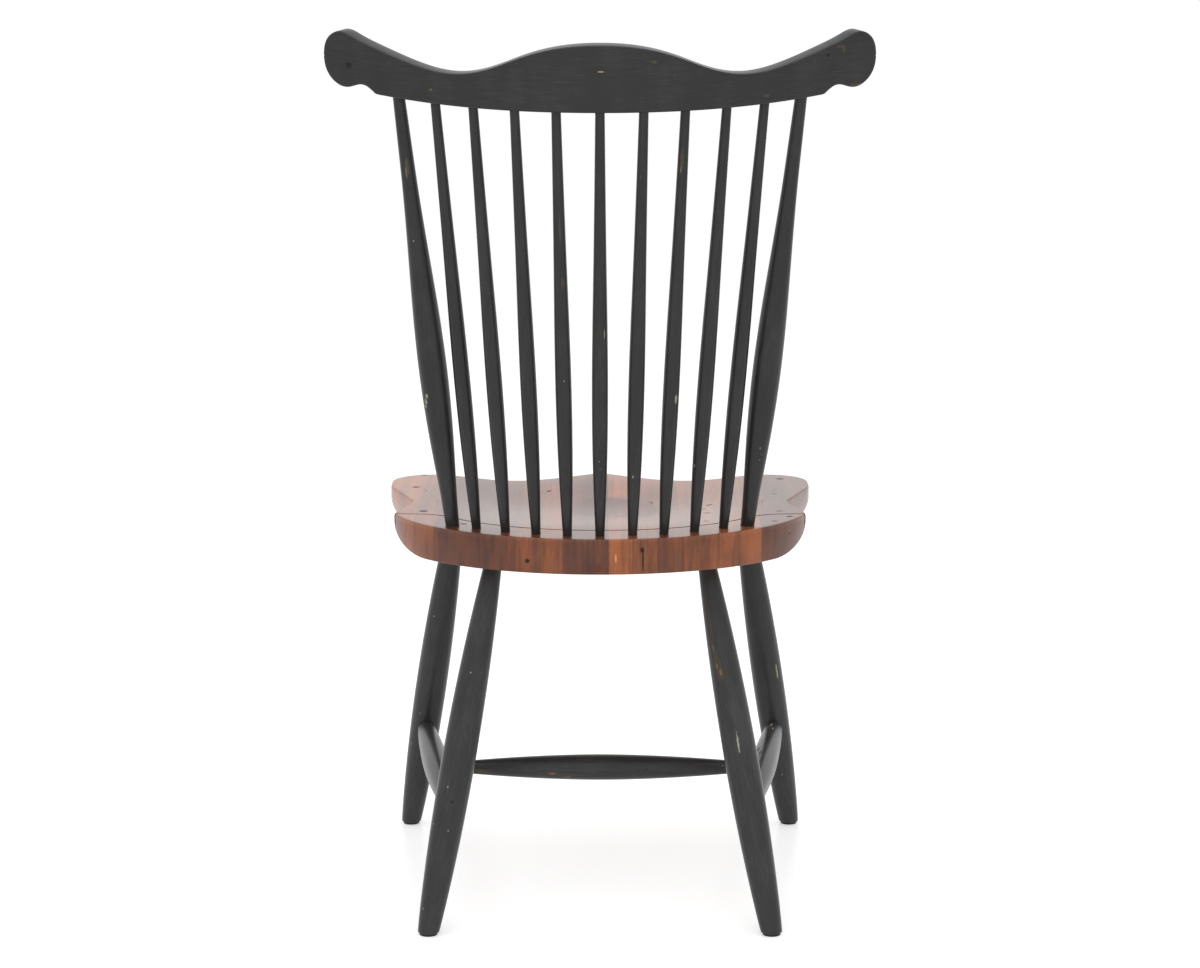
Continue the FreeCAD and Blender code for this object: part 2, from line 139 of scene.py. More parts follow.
# Paint. Where the finish is rubbed through, the brown ground coat and then bare wood show.
paint = dict(
    colour=(0.0200, 0.0200, 0.0202, 1),
    dusty=(0.033, 0.033, 0.033, 1),
    upperPaintedLight=1.0,  # painted light lifting the paint, on the back and on the legs and stretchers
    # the legs and stretchers are painted lighter for the light the white floor throws up at them
    legPaintedLight=1.5,
    roughness=0.31,
    specular=0.26,
    cloud=(28, 3, 0.6, (1, 1, 0.4)),  # noises: scale, detail, roughness, stretch
    brush=(900, 3, 0.55),
    ragged=(420, 3, 0.6, (1, 1, 0.5)),
    chips=(60, 4, 0.62, (1, 1, 0.55)),
    chipLevel=0.745,  # less of this means more chips
    chipEdge=0.012,
    bareLevel=0.02,  # above the chips' own level
    bareEdge=0.015,
    halo=1.35,
    haloMargin=0.0005,
    bump=0.28,
    bumpDepth=0.0005,
)
wornTones = dict(
    tan=(0.17, 0.108, 0.055, 1),
    rosy=(0.36, 0.25, 0.19, 1),
    brown=(0.068, 0.043, 0.026, 1),
    pale=(0.30, 0.285, 0.21, 1),
    grey=(0.20, 0.20, 0.19, 1),
    olive=(0.062, 0.056, 0.034, 1),
    dark=(0.007, 0.007, 0.007, 1),
)


def paintMaterial(name, marks, shift, share, grain):
    material, shader, start = newMaterial(name, {"Specular IOR Level": paint["specular"]})
    own = start.node("ShaderNodeAttribute", {"attribute_name": "ownPlace"}, out=1)
    away = (shift, 0.37 * shift, 0.11 * shift)
    cloud = own.noise(*paint["cloud"], away)
    brush = own.noise(*paint["brush"], grain, away)
    ragged = (own.noise(*paint["ragged"], away) - 0.5) * 1.3
    # share lifts both paint colours: on the legs and stretchers this is painted light from the floor below
    clean, dusty = [tinted(paint[key], share) for key in ("colour", "dusty")]
    colour = (cloud * 0.5 + brush * 0.5).between(0.42, 0.68).choose(clean, dusty)

    # small chips that lie about everywhere, with more of the ground coat showing than of the bare wood
    chips = own.noise(*paint["chips"], away) + (brush - 0.5) * 0.05
    level = paint["chipLevel"]
    ground = chips.between(level, level + paint["chipEdge"])
    bareFrom = level + paint["bareLevel"]
    bare = chips.between(bareFrom, bareFrom + paint["bareEdge"])
    colour = bare.choose(ground.choose(colour, wornTones["olive"]), wornTones["grey"])
    worn = ground
    for centre, size, tone in marks:
        inner = patch(own, centre, size, ragged)
        if tone in ("tan", "brown", "rosy"):  # a ring of ground coat round the bare wood
            wider = [paint["halo"] * half + paint["haloMargin"] for half in size]
            ring = patch(own, centre, wider, ragged)
            colour = (ring * 0.6).choose(colour, wornTones["olive"])
        colour = inner.choose(colour, wornTones[tone])
        worn = worn.maths("MAXIMUM", worn, inner)
    height = brush * 0.22 + cloud * 0.3 - worn * 0.8
    bump = {"Strength": paint["bump"], "Distance": paint["bumpDepth"], "Height": height}
    normal = start.node("ShaderNodeBump", None, bump)
    roughness = cloud * 0.12 + worn * 0.2 + (paint["roughness"] - 0.06)
    feed(material, shader, {"Base Color": colour, "Roughness": roughness, "Normal": normal})
    return material


# Turned pieces: each is spun round its own axis, and remembers where every point lay before it was leaned.
alongGrain = (1, 1, 0.045)  # brush strokes run along the piece
sharpTurn = 50  # degrees past which an edge shows as an edge
markDepth = 2.5  # how deep a mark's patch reaches into the piece, times its half width


def smoothRun(points, count):
    # natural cubic spline through 2-D points, read at even steps of its length
    p = np.array(points, float)
    t = np.concatenate([[0], np.cumsum(np.linalg.norm(np.diff(p, axis=0), axis=1))])
    n = len(p)
    h = np.diff(t)
    matrix = np.eye(n)
    right = np.zeros_like(p)
    for i in range(1, n - 1):
        matrix[i, i - 1:i + 2] = h[i - 1], 2 * (h[i - 1] + h[i]), h[i]
        right[i] = 6 * ((p[i + 1] - p[i]) / h[i] - (p[i] - p[i - 1]) / h[i - 1])
    bend = np.linalg.solve(matrix, right)
    s = np.linspace(0, t[-1], count)
    i = np.clip(np.searchsorted(t, s) - 1, 0, n - 2)
    a = ((t[i + 1] - s) / h[i])[:, None]
    b = 1 - a
    curve = ((a ** 3 - a) * bend[i] + (b ** 3 - b) * bend[i + 1]) * (h[i] ** 2)[:, None] / 6
    return a * p[i] + b * p[i + 1] + curve


def axisOf(node):
    # the centres of the two ends of a turned solid, the one further along its main axis last
    points = np.array([v.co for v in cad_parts[node].data.vertices])
    middle = points.mean(0)
    along = (points - middle) @ np.linalg.svd(points - middle, full_matrices=False)[2][0]
    ends = [points[abs(along - stop) < 0.8 * mm].mean(0) for stop in (along.min(), along.max())]
    span = ends[1] - ends[0]
    if span[np.argmax(abs(span))] < 0:
        ends.reverse()
    return Vector(ends[0]), Vector(ends[1])


def finishPiece(bm, name, replaced, material):
    mesh = bpy.data.meshes.new(name)
    bm.to_mesh(mesh)
    bm.free()
    piece = bpy.data.objects.new(name, mesh)
    bpy.context.scene.collection.objects.link(piece)
    mesh.materials.append(material)
    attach(piece, "root")
    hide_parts(replaced)


def groundLevel(bm, own, start, up, sole):
    # the lower end is ground level with the floor, sole millimetres above it
    for vert in bm.verts:
        nearness = max(0, 1 - vert[own].z / (leg["groundReach"] * mm))
        above = vert.co.z - (start + up * vert[own].z).z
        vert.co.z -= nearness * (above + start.z - sole * mm)


def turnedPiece(node, profile, marks, back, steps, share, sole=None):
    # profile: (height, radius) in millimetres from the first end
    # marks: (height, across, half length, half width, tone), on the side that faces back
    # share lifts the paint's colour, as painted light on the pieces lit from the floor
    start, stop = axisOf(node)
    bm = bmesh.new()
    own = bm.verts.layers.float_vector.new("ownPlace")
    stations = [(h * mm, r * mm) for h, r in profile]
    verts = [bm.verts.new((r, 0, h)) for h, r in stations]
    edges = [bm.edges.new(pair) for pair in zip(verts, verts[1:])]
    bmesh.ops.spin(
        bm, geom=verts + edges, cent=(0, 0, 0), axis=(0, 0, 1), angle=math.tau, steps=steps, use_merge=True
    )
    bmesh.ops.remove_doubles(bm, verts=bm.verts[:], dist=1e-6)
    rims = [edge for edge in bm.edges if edge.is_boundary]
    bmesh.ops.holes_fill(bm, edges=rims, sides=steps + 2)
    bmesh.ops.recalc_face_normals(bm, faces=bm.faces[:])
    for face in bm.faces:
        face.smooth = len(face.verts) < 5
    for edge in bm.edges:
        edge.smooth = not edge.is_manifold or edge.calc_face_angle() < math.radians(sharpTurn)
    for vert in bm.verts:
        vert[own] = vert.co
    up = (stop - start).normalized()
    side = Vector(back).cross(up).normalized()
    lean = Matrix((side, up.cross(side), up)).transposed().to_4x4()
    bmesh.ops.transform(bm, matrix=Matrix.Translation(start) @ lean, verts=bm.verts[:])
    if sole:
        groundLevel(bm, own, start, up, sole)
    heights, radii = zip(*profile)
    spots = []
    for height, across, halfLong, halfWide, tone in marks:
        radius = np.interp(height, heights, radii)
        depth = math.sqrt(max(radius ** 2 - across ** 2, 0))
        size = scaled((halfWide, halfWide * markDepth, halfLong), mm)
        spots.append((scaled((across, depth, height), mm), size, tone))
    shift = sum(ord(letter) for letter in node) * 0.173  # so that no two pieces are chipped alike
    material = paintMaterial("paint_" + node, spots, shift, share, alongGrain)
    finishPiece(bm, node + "_turned", node, material)


# Spindles and posts.
spindle = dict(
    steps=48,
    tenonRadius=5.3,
    footRadius=5.4,
    bellyRadius=9.2,
    deckTenon=24.0,
    crestTenon=20.0,
    deckStraight=4.0,  # straight stretches above the deck and below the crest
    crestStraight=5.0,
    swell=((0.155, 0.7), (0.23, 0.91), (0.325, 1), (0.42, 0.95), (0.56, 0.68), (0.7, 0.4), (0.84, 0.18)),
)
post = dict(
    tenonRadius=6.8,
    footRadius=8.1,
    bellyRadius=16.2,
    swell=(
        (0.07, 0.17), (0.13, 0.42), (0.255, 0.86), (0.39, 1), (0.55, 0.725), (0.69, 0.36), (0.79, 0.165),
        (0.9, 0.06),
    ),
)
uprightMarks = dict(
    back_post_right=(
        (457, 0, 11, 2.2, "olive"), (450, 1.6, 6, 0.9, "tan"), (189, 10, 3, 1.6, "pale"),
        (182, 11.6, 4, 1.3, "pale"), (176, 12.6, 2.4, 0.9, "pale"), (531, -1, 1.6, 1.3, "dark"),
        (372, 3, 1.2, 0.8, "grey"),
    ),
    back_post_left=(
        (533, 5.5, 4, 1.6, "brown"), (125, -2.7, 1.3, 0.8, "grey"), (117, -5.6, 1.4, 1, "olive"),
        (110, -4, 0.9, 0.6, "grey"),
    ),
    spindle_6=((385, -0.8, 17, 0.9, "olive"), (324, -2.5, 4, 1, "brown"), (211, -1, 1.1, 0.7, "grey")),
    spindle_5=((266, -4.9, 6, 0.4, "pale"), (116, 0.5, 1, 0.6, "grey"), (107, -0.5, 1.6, 1.2, "olive")),
    spindle_4=((443, 1.8, 3, 0.8, "olive"), (97, 1.4, 1.8, 0.8, "pale")),
    spindle_3=((462, 1.2, 9, 1.4, "brown"), (452, 2, 4.5, 0.6, "tan"), (189, -5.6, 5.5, 1.3, "pale")),
    spindle_2=((106, 5.9, 1.8, 0.7, "grey"),),
)


def uprightProfile(length, stout):
    sizes = post if stout else spindle
    foot = sizes["footRadius"]
    head = sizes["tenonRadius"]
    deck = spindle["deckTenon"]
    free = length - deck - spindle["crestTenon"] / 2  # from the deck to the middle of the upper tenon
    body = [(deck + spindle["deckStraight"], foot)]
    for share, full in sizes["swell"]:
        slim = foot + (head - foot) * share
        body.append((deck + share * free, slim + (sizes["bellyRadius"] - slim) * full))
    body.append((length - spindle["crestTenon"] - spindle["crestStraight"], head))
    return [(0, foot)] + [tuple(p) for p in smoothRun(body, 44)] + [(length, head)]


def makeUprights():
    share = paint["upperPaintedLight"]
    for node in [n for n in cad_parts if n.startswith(("spindle_", "back_post_"))]:
        start, stop = axisOf(node)
        profile = uprightProfile((stop - start).length / mm, node.startswith("back_post"))
        turnedPiece(node, profile, uprightMarks.get(node, ()), (0, 1, 0), spindle["steps"], share)
    print("spindles and posts turned")


# Legs and stretchers.
glide = dict(
    steps=48,
    sharpTurn=40,
    height=3.0,
    radius=10.3,
    edgeRounding=0.7,
    stemRadius=2.4,
    stemLength=12.0,
    colour=(0.024, 0.023, 0.022, 1),
    roughness=0.45,
    specular=0.3,
)
leg = dict(
    steps=64,
    groundReach=25.0,  # the lowest stretch, which is ground level with the floor
    footRadius=12.7,
    bellyRadius=19.5,
    bellyShare=0.45,
    neckRadius=10.4,
    tenonLength=27.0,
    shoulderDrop=6.0,
    footRounding=1.4,
)
legMarks = dict(
    front_leg_right=(
        (293, 9, 0.8, 1.6, "grey"), (159, 8.4, 1.3, 0.8, "grey"), (112, 14.5, 1.4, 0.8, "grey"),
    ),
    front_leg_left=(
        (216, -12.5, 10, 1.1, "pale"), (72, -0.5, 1.7, 1.4, "olive"), (73, 0.2, 0.8, 0.6, "pale"),
    ),
    rear_leg_right=(
        (299, 3.4, 2, 1.7, "olive"), (299, 3.6, 0.9, 0.8, "pale"), (165, 6.8, 1.3, 1, "grey"),
        (151, -0.4, 3.2, 2.5, "dark"), (151.8, -0.2, 1.3, 1.1, "brown"), (116, -2.4, 1.1, 1, "grey"),
        (121, 15.8, 1.2, 0.7, "grey"), (24.4, 10.4, 1.3, 0.8, "grey"),
    ),
    rear_leg_left=(
        (352, 8.6, 46, 1.4, "olive"), (375, 8.2, 24, 0.8, "brown"), (338, 9.4, 22, 1.2, "brown"),
        (306, 8, 11, 2.6, "brown"), (299, 5.6, 5, 2.4, "brown"), (301, 6.2, 3.6, 1.5, "tan"),
        (309, 9.2, 4, 0.9, "tan"), (330, 9.8, 5, 0.5, "tan"), (218, 0.5, 12, 1.3, "pale"),
        (230, 1.2, 9, 0.6, "olive"),
    ),
)
stretcher = dict(
    steps=56,
    sideRadius=16.2,
    sideEndRadii=(11.5, 7.4),  # at the front leg, at the rear leg
    sideTenon=15.0,
    centreRadius=15.6,
    centreEndRadii=(6.6, 6.6),
    centreTenon=11.0,
    swellPower=1.8,
    neck=7.0,
)
stretcherMarks = dict(
    centre_stretcher=(
        (337, 3, 11, 1.6, "olive"), (331, 5, 9, 0.5, "brown"), (343, 1, 6, 0.6, "brown"),
        (243, 7, 24, 2.2, "olive"), (251, 4.6, 5, 1.5, "tan"), (262, 6, 5, 0.8, "brown"),
        (238, 7.6, 6, 1, "brown"), (233, 9.6, 4, 0.7, "tan"), (137, -1, 1.3, 1, "dark"),
        (132, 2, 1.2, 0.8, "dark"), (146, 1, 1, 0.7, "dark"), (44, -4, 1, 0.7, "grey"),
    ),
    side_stretcher_right=((150, 4, 2, 1, "olive"),),
    side_stretcher_left=(
        (46, -4, 12, 3.2, "brown"), (40, -1, 7, 1.6, "rosy"), (62, 2, 6, 1.2, "rosy"),
        (172, -8, 10, 1.8, "dark"), (194, -4, 9, 1.4, "dark"), (84, -8, 2.4, 0.8, "grey"),
        (210, -5, 2.5, 1, "olive"),
    ),
)


def legProfile(length):
    low = leg["footRadius"]
    belly = leg["bellyRadius"]
    neck = leg["neckRadius"]
    share = leg["bellyShare"]
    reach = length - leg["tenonLength"]
    profile = [(height, low - inset) for inset, height in zip(*quarterRound(leg["footRounding"]))][::-1]
    for s in np.linspace(0.02, 1, 46):
        if s < share:
            radius = low + (belly - low) * (1 - (1 - s / share) ** 2)
        else:
            radius = neck + (belly - neck) * (1 - ((s - share) / (1 - share)) ** 2)
        profile.append((s * (reach - leg["shoulderDrop"]), radius))
    return profile + [(length, neck)]


def stretcherProfile(length, tenon, belly, ends):
    neck = length / 2 - tenon - stretcher["neck"]
    profile = [(0, ends[0])]
    for s in np.linspace(-1, 1, 49):
        thinning = (belly - ends[int(s > 0)]) * abs(s) ** stretcher["swellPower"]
        profile.append((length / 2 + s * neck, belly - thinning))
    return profile + [(length, ends[1])]


def makeLegs():
    # the lower pieces get the lighter paint, painted light for the glow of the white floor beneath them
    share = paint["legPaintedLight"]
    for node in [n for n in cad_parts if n.endswith(("leg_left", "leg_right"))]:
        start, stop = axisOf(node)
        profile = legProfile((stop - start).length / mm)
        turnedPiece(node, profile, legMarks[node], (0, 1, 0), leg["steps"], share, glide["height"])
    for node in ("side_stretcher_left", "side_stretcher_right", "centre_stretcher"):
        start, stop = axisOf(node)
        part = "centre" if node.startswith("centre") else "side"
        sizes = [stretcher[part + size] for size in ("Tenon", "Radius", "EndRadii")]
        profile = stretcherProfile((stop - start).length / mm, *sizes)
        back = (0, 1, 0) if part == "centre" else (0, 0, 1)
        turnedPiece(node, profile, stretcherMarks[node], back, stretcher["steps"], share)
    print("legs and stretchers turned")


# Flat pieces: a grid is laid between two edges, and a lower copy of it closes the shape.
def evenRun(points, count):
    p = np.array(points, float)
    t = np.concatenate([[0], np.cumsum(np.linalg.norm(np.diff(p, axis=0), axis=1))])
    s = np.linspace(0, t[-1], count)
    return np.stack([np.interp(s, t, p[:, k]) for k in (0, 1)], axis=1)


def normalsOf(run, towards):
    # square to the run, on the side where the other run lies
    tangent = np.gradient(run, axis=0)
    normal = np.stack([-tangent[:, 1], tangent[:, 0]], axis=1)
    normal /= np.linalg.norm(normal, axis=1)[:, None]
    facing = np.sum(normal * (towards - run), axis=1).sum()
    return normal if facing > 0 else -normal


def edgeRows(run, towards, insets):
    normal = normalsOf(run, towards)
    room = 0.45 * np.linalg.norm(towards - run, axis=1)  # the insets shrink where the two runs meet
    shrink = np.minimum(1, room / insets[-1])
    return [run + normal * (inset * shrink)[:, None] for inset in insets]


def rowsBetween(first, last, count):
    return [first + (last - first) * step / (count + 1) for step in range(1, count + 1)]


def gridShell(rows, placeOf, gutterShadeRow=-1):
    # placeOf(row, point, upper) gives the place of each vertex; the two layers are joined round the edge
    count = len(rows[0])
    bm = bmesh.new()
    # the gutterShade attribute is 1 on the given upper row, for painted shade down the gutter
    gutterShade = bm.verts.layers.float.new("gutterShade")
    bmesh.ops.create_grid(bm, x_segments=count - 1, y_segments=len(rows) - 1, size=1)
    made = bmesh.ops.extrude_face_region(bm, geom=bm.faces[:] + bm.edges[:] + bm.verts[:], use_keep_orig=True)
    lower = [item for item in made["geom"] if isinstance(item, bmesh.types.BMVert)]
    copied = set(lower)
    upper = [vert for vert in bm.verts if vert not in copied]
    for layer, isUpper in ((upper, True), (lower, False)):
        layer.sort(key=lambda vert: (round(vert.co.y, 5), vert.co.x))
        for index, vert in enumerate(layer):
            row = index // count
            vert.co = Vector(placeOf(row, rows[row][index % count], isUpper)) * mm
            vert[gutterShade] = 1.0 if isUpper and row == gutterShadeRow else 0.0
    bmesh.ops.remove_doubles(bm, verts=bm.verts[:], dist=0.002 * mm)
    bmesh.ops.recalc_face_normals(bm, faces=bm.faces[:])
    return bm


def sharpen(bm, degrees):
    for face in bm.faces:
        face.smooth = True
    for edge in bm.edges:
        edge.smooth = not edge.is_manifold or edge.calc_face_angle() < math.radians(degrees)


# Crest rail: drawn flat, then bent and leaned back with the uprights.
crest = dict(
    columns=231,
    faceRows=9,
    sharpTurn=60,
    thickness=20.0,
    bendRadius=580.0,
    lowCentre=490.9,  # lower edge in the middle, along the rake above the deck
    edgeRounding=2.2,
    rootReach=246.5,
    rootHeight=9.3,
    halfOutline=(
        (0, 73.9), (49.1, 69.7), (85.6, 59.5), (122, 45.5), (158.5, 38.9), (213.7, 49.5), (250.9, 62.6),
        (270.2, 70.3), (287, 75.4), (299.7, 67.6), (305.2, 50.1), (298.5, 23.6), (279.5, 13.8), (262, 18.5),
        (246.5, 9.3),
    ),
    tipReach=305.1,
    hollowPower=2.6,  # how late the lower edge turns up towards the ears
    paintShift=3.1,
    deckRow=190.2,  # middle of the row of spindles, from the middle of the seat
    rake=10.0,
)
crestMarks = (  # across, height, half sizes, tone
    (-0.5, 45.5, 5.4, 1.7, "dark"), (-0.8, 45.6, 3.6, 0.8, "rosy"), (276, 39, 3.6, 3.6, "dark"),
    (184, 19.7, 2.4, 1.3, "olive"), (184, 19.9, 0.9, 0.8, "tan"), (-263, 61, 3.5, 0.7, "brown"),
    (-267, 58, 1.0, 3.2, "brown"), (-249, 53, 2.1, 1.9, "dark"), (-282, 16.2, 5.4, 1.2, "brown"),
    (-192, 47.7, 12, 0.9, "olive"), (-206, 50.6, 5, 0.6, "brown"), (-58, 55.8, 3.4, 1.6, "olive"),
    (-181, 13.4, 2.2, 1.4, "brown"),
)


def crestEdges(columns):
    half = list(crest["halfOutline"])
    fine = 1200
    curve = smoothRun([(-x, h) for x, h in half[:0:-1]] + half, 2 * fine + 1)[fine:]
    tip = int(np.argmax(curve[:, 0]))
    x = curve[tip, 0] * np.sin(math.pi / 2 * np.linspace(-1, 1, columns))
    upper = np.interp(abs(x), curve[:tip + 1, 0], curve[:tip + 1, 1])
    ear = curve[tip:][::-1]
    middle = crest["rootHeight"] * (abs(x) / crest["rootReach"]) ** crest["hollowPower"]
    lower = np.where(abs(x) < crest["rootReach"], middle, np.interp(abs(x), ear[:, 0], ear[:, 1]))
    lower[[0, -1]] = upper[[0, -1]]
    return np.stack([x, lower], axis=1), np.stack([x, upper], axis=1)


def seatPlace(point):
    # from the seat's own level to the chair's, for places in metres
    tilt = Matrix.Rotation(math.radians(-seat["tilt"]), 4, "X")
    return tilt @ point + Vector(seat["middle"]) * mm


def bendCrest(point):
    # keeps the drawn width where the outer edge's rounding ends; the thickness stands square to the bend
    radius = crest["bendRadius"] * mm
    depth = crest["thickness"] / 2 * mm - point.y
    turn = math.asin(point.x / (radius - 0.7 * crest["edgeRounding"] * mm))
    rake = Matrix.Rotation(math.radians(-crest["rake"]), 4, "X")
    bent = Vector((
        (radius - depth) * math.sin(turn),
        (radius - depth) * math.cos(turn) - radius + crest["thickness"] / 2 * mm,
        point.z + crest["lowCentre"] * mm,
    ))
    return rake @ bent + seatPlace(Vector((0, crest["deckRow"] * mm, 0)))


def makeCrest():
    lower, upper = crestEdges(crest["columns"])
    insets, drops = quarterRound(crest["edgeRounding"])
    first = edgeRows(lower, upper, insets)
    last = edgeRows(upper, lower, insets)[::-1]
    rows = first + rowsBetween(first[-1], last[0], crest["faceRows"]) + last
    dropOf = drops + [0] * crest["faceRows"] + drops[::-1]

    def placeOf(row, point, outer):
        drop = crest["edgeRounding"] if abs(point[0]) > crest["tipReach"] else dropOf[row]
        depth = crest["thickness"] / 2 - drop
        return (point[0], depth if outer else -depth, point[1])

    bm = gridShell(rows, placeOf)
    own = bm.verts.layers.float_vector.new("ownPlace")
    for vert in bm.verts:
        vert[own] = vert.co
        vert.co = bendCrest(vert.co)
    sharpen(bm, crest["sharpTurn"])
    face = crest["thickness"] / 2  # the marks lie on the rear face
    spots = []
    for x, height, halfLong, halfHigh, tone in crestMarks:
        spots.append((scaled((x, face, height), mm), scaled((halfLong, 6, halfHigh), mm), tone))
    material = paintMaterial("paint_crest", spots, crest["paintShift"], paint["upperPaintedLight"], alongGrain[::-1])
    finishPiece(bm, "crest_rail_bent", "crest_rail", material)
    print("crest bent")


# Seat: one shaped plank of glued staves, sawn apart again at the end so that each keeps its own stain.
seat = dict(
    columns=261,
    saddleRows=34,
    rearRows=9,
    sharpTurn=38,
    tilt=0.86,
    middle=(0, -35.627, 458),
    thickness=41.0,
    frontDepth=221.0,
    corners=((262, -205, 48), (261, -124, 70), (225.5, -20, 26)),
    bowRadius=1500,
    rearHalfWidth=253.0,
    rearDepth=215.0,
    rearCornerY=57.0,
    gutter=((0, 160), (60.2, 152.95), (131.6, 116.8), (165.4, 85.7), (188, 66), (215.9, 60.5), (263.9, 55)),
    gutterHalfWidth=2.2,
    gutterDepth=2.6,
    gutterEndY=60.3,  # where the gutter runs out of the sides
    rimStart=5.5,  # from the rear corners to where the rear rim starts
    topRounding=2.2,
    lowRounding=1.2,
    sideWall=12.0,
    frontWall=17.0,
    roundReach=34.0,
    saddleHalfWidth=212.0,
    lobeDepth=9.2,
    bowlDepth=10.0,
    frontFlow=(3.2, 5, 7.5, 11, 15, 20, 26, 34),  # rows that follow the front rim, by their distance from it
    outerReach=400,  # well past the outer staves
    joints=(-187, -159, -137, -96, -65, -37, -10, 42, 68, 96, 134, 193),
    tones=(0.02, 0.48, 0.60, 0.40, 0.17, 0.42, 0.64, 0.05, 0.40, 0.21, 0.03, 0.0, 0.54),  # 0 dark, 1 light
    darkOnes=(1, 5, 8, 11, 12),
)
wood = dict(
    darkStain=(0.120, 0.030, 0.009, 1),
    lightStain=(0.400, 0.112, 0.026, 1),
    deepShare=0.44,
    paleShare=1.52,
    knot=(0.030, 0.014, 0.010, 1),
    reddish=(0.13, 0.034, 0.018, 1),
    filler=(0.62, 0.30, 0.14, 1),
    roughness=0.5,
    specular=0.1,
    coatRoughness=0.22,
    coatIor=1.5,
    streak=(4, 0.62, (150, 3.2, 14)),  # noises: detail, roughness, how fine across, along and down
    broad=(3, 0.55, (55, 2.2, 7)),
    figure=(3, 0.6, (15, 5.5, 12)),
    pores=(2, 0.6, (1500, 34, 260)),
    ragged=(260, 3, 0.6),
    topMarkDepth=16.0,
    rearMarkDepth=4.0,
    seamWidth=0.7,
    rimWear=0.28,
    rimShade=0.10,
    rimReach=(0.965, 0.985),  # squared share of the way out to the rear outline, where the rim starts
    rimBack=(0, 0.02),  # how far back, and how low, in metres
    rimHeights=(0.4545, 0.449),
    smoke=(0.055, 0.024, 0.014, 1),  # a dark cloud in the middle of the saddle
    smokePlace=(-18, -25, -8),
    smokeSize=(62, 75, 30),
    bump=0.25,
    bumpDepth=0.0004,
)
topMarks = (  # across, back, half sizes, tone
    (224, -202, 4, 4, "knot"), (229, -117, 5, 4, "knot"), (210, 42, 5.5, 5, "knot"),
    (159, 119, 4.5, 4, "knot"), (64, -143, 6, 6, "reddish"), (65, -141, 3.5, 3, "knot"),
    (-64, -78, 4, 11, "reddish"), (-61, -81, 7, 4, "knot"), (-134, -47, 6, 4, "knot"),
    (-124, -21, 6, 5, "reddish"), (-128, 15, 6, 4, "reddish"), (-129, 16, 3, 2.5, "knot"),
    (-125, 92, 4.5, 5, "reddish"), (-227, -174, 5, 4, "knot"), (-214, -70, 3.5, 3.5, "reddish"),
    (-214, 42, 5, 4, "reddish"), (-224, 76, 4.5, 4, "knot"), (-204, 104, 4.5, 4, "reddish"),
)
rearMarks = (  # across, below the deck, half sizes, tone
    (83, 27, 3, 3, "knot"), (-48.8, 26, 1.0, 15, "knot"), (-222, 15, 3, 1.6, "reddish"),
    (-18, 22, 0.9, 5, "filler"), (-48, 13, 2.4, 3, "knot"), (2, 33, 5, 6, "reddish"),
)


def roundedLine(corners):
    # straight runs with a tangent arc at each inner corner; corners are (x, y, radius)
    pen = [np.array(corners[0][:2], float)]
    for before, here, after in zip(corners, corners[1:], corners[2:]):
        corner = np.array(here[:2], float)
        back = np.array(before[:2]) - corner
        ahead = np.array(after[:2]) - corner
        back /= np.linalg.norm(back)
        ahead /= np.linalg.norm(ahead)
        half = math.acos(float(back @ ahead)) / 2
        bisector = (back + ahead) / np.linalg.norm(back + ahead)
        centre = corner + bisector * here[2] / math.sin(half)
        start = corner + back * here[2] / math.tan(half) - centre
        stop = corner + ahead * here[2] / math.tan(half) - centre
        sweep = math.atan2(start[0] * stop[1] - start[1] * stop[0], start @ stop)
        for angle in np.linspace(0, sweep, 25):
            c, s = math.cos(angle), math.sin(angle)
            pen.append(centre + np.array([c * start[0] - s * start[1], s * start[0] + c * start[1]]))
    pen.append(np.array(corners[-1][:2], float))
    return np.array(pen)


def rearCorner():
    rise = math.asin(seat["rearCornerY"] / seat["rearDepth"])
    return seat["rearHalfWidth"] * math.cos(rise), seat["rearCornerY"]


def rimAt(y):
    return seat["rearHalfWidth"] * math.sqrt(1 - (y / seat["rearDepth"]) ** 2)


def seatRuns(columns):
    # front rim, front lip, bottom and back lip of the gutter, rear rim, all from left to right
    x, y = rearCorner()
    right = [(x, y, 0)] + [tuple(c) for c in seat["corners"][::-1]]
    left = [(-px, py, radius) for px, py, radius in right]
    front = roundedLine(left + [(0, -seat["frontDepth"], seat["bowRadius"])] + right[::-1])
    front = evenRun(front, columns)
    half = list(seat["gutter"])
    middle = smoothRun([(-px, py) for px, py in half[:0:-1]] + half, 2000)
    middle = evenRun(middle[abs(middle[:, 0]) < rimAt(seat["gutterEndY"])], columns)
    normal = normalsOf(middle, front)
    frontLip = middle + normal * seat["gutterHalfWidth"]
    backLip = middle - normal * seat["gutterHalfWidth"]
    frontLip[0], frontLip[-1] = front[0], front[-1]
    behind = seat["rearCornerY"] + seat["rimStart"]
    backLip[0], backLip[-1] = (-rimAt(behind), behind), (rimAt(behind), behind)
    rise = math.asin(behind / seat["rearDepth"])
    arc = [(-seat["rearHalfWidth"] * math.cos(angle), seat["rearDepth"] * math.sin(angle))
           for angle in np.linspace(rise, math.pi - rise, 800)]
    return front, frontLip, middle, backLip, evenRun(arc, columns)


def saddleDepth(x, y):
    across = min(abs(x) / seat["saddleHalfWidth"], 1)
    back = (y + seat["frontDepth"]) / (seat["gutter"][0][1] + seat["frontDepth"])
    back = max(0, min(back, 1))
    lobes = seat["lobeDepth"] * math.sin(math.pi * across) ** 1.2 * (1 - across ** 6) * (1 - back ** 2) ** 2
    bowl = seat["bowlDepth"] * (1 - across ** 2) ** 1.5 * math.sin(math.pi * back) ** 2
    return lobes + bowl


